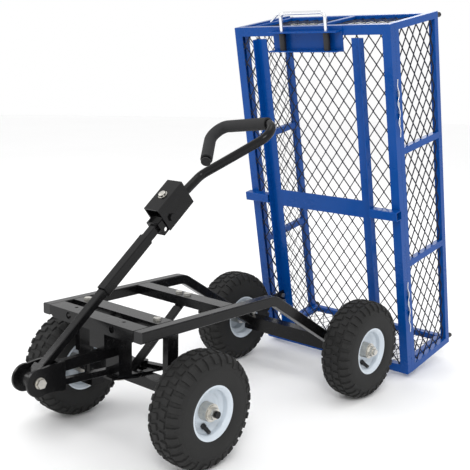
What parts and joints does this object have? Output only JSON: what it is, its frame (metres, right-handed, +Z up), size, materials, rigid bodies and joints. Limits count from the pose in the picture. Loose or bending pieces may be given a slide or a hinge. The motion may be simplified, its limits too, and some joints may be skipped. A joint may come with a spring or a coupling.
{
  "type": "garden cart",
  "caption": "Four-wheel garden cart with a tipping mesh bed, fold-down sides, lift-out gates, linked steering and a folding pull handle.",
  "frame": {"origin": "on the floor, under the middle of the cart's bounding box in the stored pose, bed tipped up", "axes": "+Z up; -Y forwards to the tongue and handle; +X to the cart's left"},
  "size_m": [0.55, 1.3681, 1.0146],
  "materials": {
    "black_frame": "satin",
    "black_plastic": "matte",
    "zinc_hardware": "satin",
    "foam_grip": "matte",
    "chrome_bail": "polished",
    "blue_bed": "gloss",
    "wire_mesh": "satin",
    "tyre": "matte",
    "white_rim": "gloss"
  },
  "bodies": {
    "chassis": {"left_rail": "black_frame", "right_rail": "black_frame", "rail_end_plugs": "black_plastic", "front_cross_channel": "black_frame", "second_cross_member": "black_frame", "third_cross_member": "black_frame", "front_axle_beam": "black_frame", "front_legs": "black_frame", "centre_brace": "black_frame", "kingpin_bracket": "black_frame", "chassis_bolts": "zinc_hardware", "rear_axle_beam": "black_frame", "rear_axle_shaft": "zinc_hardware", "rear_axle_nuts": "zinc_hardware"},
    "tongue": {"steering_plate": "black_frame", "tongue_frame": "black_frame", "hitch_bolt": "zinc_hardware"},
    "lower_handle": {"lower_handle": "black_frame", "tow_clevis": "black_frame", "fold_bolt": "black_frame"},
    "upper_handle": {"handle_cover": "black_frame", "d_handle": "black_frame", "d_handle_cap": "black_plastic", "handle_grip": "foam_grip"},
    "left_knuckle": {"left_knuckle": "black_frame", "left_spindle_nut": "zinc_hardware"},
    "right_knuckle": {"right_knuckle": "black_frame", "right_spindle_nut": "zinc_hardware"},
    "left_tie_rod": {"left_tie_rod": "black_frame"},
    "right_tie_rod": {"right_tie_rod": "black_frame"},
    "front_left_wheel": {"front_left_tyre": "tyre", "front_left_rim": "white_rim", "front_left_hub": "zinc_hardware"},
    "front_right_wheel": {"front_right_tyre": "tyre", "front_right_rim": "white_rim", "front_right_hub": "zinc_hardware"},
    "rear_left_wheel": {"rear_left_tyre": "tyre", "rear_left_rim": "white_rim", "rear_left_hub": "zinc_hardware"},
    "rear_right_wheel": {"rear_right_tyre": "tyre", "rear_right_rim": "white_rim", "rear_right_hub": "zinc_hardware"},
    "bed": {"bed_frame": "blue_bed", "floor_mesh": "wire_mesh", "bed_rails": "blue_bed", "bed_cross_bar": "blue_bed", "pivot_arms": "black_frame", "bed_bolts": "zinc_hardware", "latch_plate": "blue_bed", "latch_sleeves": "black_plastic", "hinge_wires": "zinc_hardware"},
    "bail": {"latch_bail": "chrome_bail"},
    "left_side": {"left_side_frame": "blue_bed", "left_side_mesh": "wire_mesh", "left_side_latches": "black_plastic"},
    "right_side": {"right_side_frame": "blue_bed", "right_side_mesh": "wire_mesh", "right_side_latches": "black_plastic"},
    "front_gate": {"front_gate": "blue_bed"},
    "tailgate": {"tailgate": "blue_bed"}
  },
  "joints": [
    {"name": "tongue_steer", "type": "hinge", "parent": "chassis", "child": "tongue", "pos_m": [0, -0.415, 0.205], "axis": [0, 0, 1], "range_deg": [-20, 20]},
    {"name": "left_knuckle_steer", "type": "hinge", "parent": "chassis", "child": "left_knuckle", "pos_m": [0.16, -0.374, 0.13], "axis": [0, 0, 1], "range_deg": [-20, 20]},
    {"name": "right_knuckle_steer", "type": "hinge", "parent": "chassis", "child": "right_knuckle", "pos_m": [-0.16, -0.374, 0.13], "axis": [0, 0, 1], "range_deg": [-20, 20]},
    {"name": "left_tie_rod_swing", "type": "hinge", "parent": "tongue", "child": "left_tie_rod", "pos_m": [0, -0.34, 0.172], "axis": [0, 0, 1], "range_deg": [-20, 20]},
    {"name": "right_tie_rod_swing", "type": "hinge", "parent": "tongue", "child": "right_tie_rod", "pos_m": [0, -0.34, 0.163], "axis": [0, 0, 1], "range_deg": [-20, 20]},
    {"name": "handle_pitch", "type": "hinge", "parent": "tongue", "child": "lower_handle", "pos_m": [0, -0.653, 0.2112], "axis": [1, 0, 0], "range_deg": [0, 140]},
    {"name": "handle_fold", "type": "hinge", "parent": "lower_handle", "child": "upper_handle", "pos_m": [0, -0.27736, 0.51322], "axis": [1, 0, 0], "range_deg": [0, 45]},
    {"name": "front_left_wheel_spin", "type": "hinge", "parent": "left_knuckle", "child": "front_left_wheel", "pos_m": [0.218, -0.374, 0.13], "axis": [1, 0, 0], "continuous": true},
    {"name": "front_right_wheel_spin", "type": "hinge", "parent": "right_knuckle", "child": "front_right_wheel", "pos_m": [-0.218, -0.374, 0.13], "axis": [1, 0, 0], "continuous": true},
    {"name": "rear_left_wheel_spin", "type": "hinge", "parent": "chassis", "child": "rear_left_wheel", "pos_m": [0.224, 0.225, 0.13], "axis": [1, 0, 0], "continuous": true},
    {"name": "rear_right_wheel_spin", "type": "hinge", "parent": "chassis", "child": "rear_right_wheel", "pos_m": [-0.224, 0.225, 0.13], "axis": [1, 0, 0], "continuous": true},
    {"name": "bed_tilt", "type": "hinge", "parent": "chassis", "child": "bed", "pos_m": [0, 0.2311, 0.1506], "axis": [1, 0, 0], "range_deg": [0, 27]},
    {"name": "latch_push", "type": "slide", "parent": "bed", "child": "bail", "axis": [0, 0.1977, -0.9803], "range_m": [0, 0.014]},
    {"name": "left_side_fold", "type": "hinge", "parent": "bed", "child": "left_side", "pos_m": [0.2608, 0.35164, 0.49329], "axis": [0, 0.1977, -0.9803], "range_deg": [0, 90]},
    {"name": "right_side_fold", "type": "hinge", "parent": "bed", "child": "right_side", "pos_m": [-0.2608, 0.35164, 0.49329], "axis": [0, -0.1977, 0.9803], "range_deg": [0, 90]},
    {"name": "front_gate_lift", "type": "slide", "parent": "bed", "child": "front_gate", "axis": [0, 0.9803, 0.1977], "range_m": [0, 0.24]},
    {"name": "tailgate_lift", "type": "slide", "parent": "bed", "child": "tailgate", "axis": [0, 0.9803, 0.1977], "range_m": [0, 0.24]}
  ],
  "couplings": [
    {"joint": "left_knuckle_steer", "follows": "tongue_steer", "ratio": 1},
    {"joint": "right_knuckle_steer", "follows": "tongue_steer", "ratio": 1},
    {"joint": "left_tie_rod_swing", "follows": "tongue_steer", "ratio": -1},
    {"joint": "right_tie_rod_swing", "follows": "tongue_steer", "ratio": -1}
  ]
}
